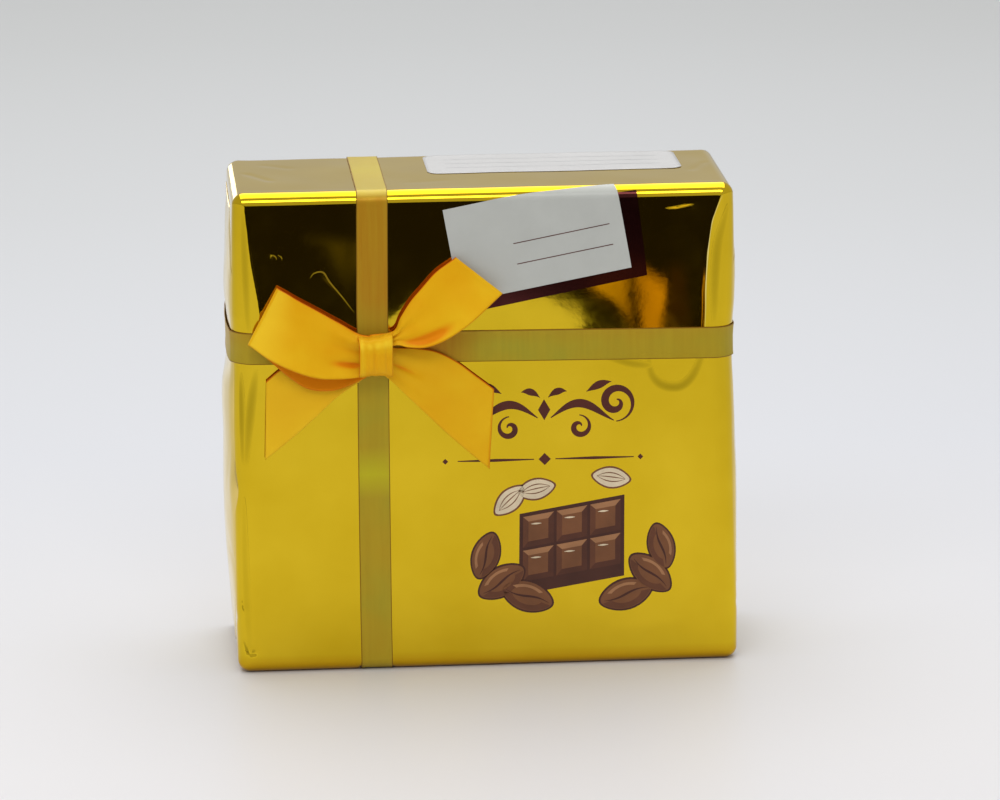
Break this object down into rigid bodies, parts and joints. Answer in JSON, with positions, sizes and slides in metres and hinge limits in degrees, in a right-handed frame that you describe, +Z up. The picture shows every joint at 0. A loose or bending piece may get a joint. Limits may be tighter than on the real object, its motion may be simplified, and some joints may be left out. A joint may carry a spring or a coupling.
{
  "type": "chocolate gift box",
  "caption": "Square gift box of chocolates in gold foil, standing on edge, with crossed flat ribbons, a satin bow, a lift-off lid and a pocket tray of foil-wrapped pralines.",
  "frame": {"origin": "middle of the flat underside that the box stands on, level with the lid's underside", "axes": "+Z up, front panel with the bow towards -Y, +X to the right seen from the front"},
  "size_m": [0.1226, 0.0554, 0.1183],
  "materials": {
    "gold_foil": "metallised gold foil paper, mirror-bright, lightly creased",
    "board": "matte white-lined board",
    "base_card": "board covered in satin gold paper",
    "pad_paper": "embossed cushion paper",
    "flat_ribbon": "thin olive-gold woven ribbon with darker edges",
    "label_paper": "matte white label",
    "satin": "orange-yellow satin",
    "glue": "set hot-melt glue",
    "tray_plastic": "thin brown formed plastic",
    "cup_paper": "brown glassine",
    "candy_foil": "crumpled gold candy foil",
    "chocolate": "milk chocolate with chopped nuts"
  },
  "bodies": {
    "base": {"base_tray": "base_card", "pocket_tray": "tray_plastic", "paper_cup_1": "cup_paper", "paper_cup_2": "cup_paper", "paper_cup_3": "cup_paper", "paper_cup_4": "cup_paper", "paper_cup_5": "cup_paper", "paper_cup_6": "cup_paper", "paper_cup_7": "cup_paper", "paper_cup_8": "cup_paper", "paper_cup_9": "cup_paper", "foil_wrapper_1": "candy_foil", "foil_wrapper_2": "candy_foil", "foil_wrapper_3": "candy_foil", "foil_wrapper_4": "candy_foil", "foil_wrapper_5": "candy_foil", "foil_wrapper_6": "candy_foil", "foil_wrapper_7": "candy_foil", "foil_wrapper_8": "candy_foil", "foil_wrapper_9": "candy_foil", "praline_1": "chocolate", "praline_2": "chocolate", "praline_3": "chocolate", "praline_4": "chocolate", "praline_5": "chocolate", "praline_6": "chocolate", "praline_7": "chocolate", "praline_8": "chocolate", "praline_9": "chocolate"},
    "lid": {"lid_shell": "board", "foil_wrap": "gold_foil", "cushion_pad": "pad_paper", "ribbon_vertical": "flat_ribbon", "ribbon_horizontal": "flat_ribbon", "price_label": "label_paper", "bow_left_loop": "satin", "bow_right_loop": "satin", "bow_left_tail": "satin", "bow_right_tail": "satin", "bow_knot": "satin", "bow_glue_dot": "glue"}
  },
  "joints": [
    {"name": "lid_slide", "type": "slide", "parent": "base", "child": "lid", "axis": [0, -1, 0], "range_m": [0, 0.06]}
  ]
}
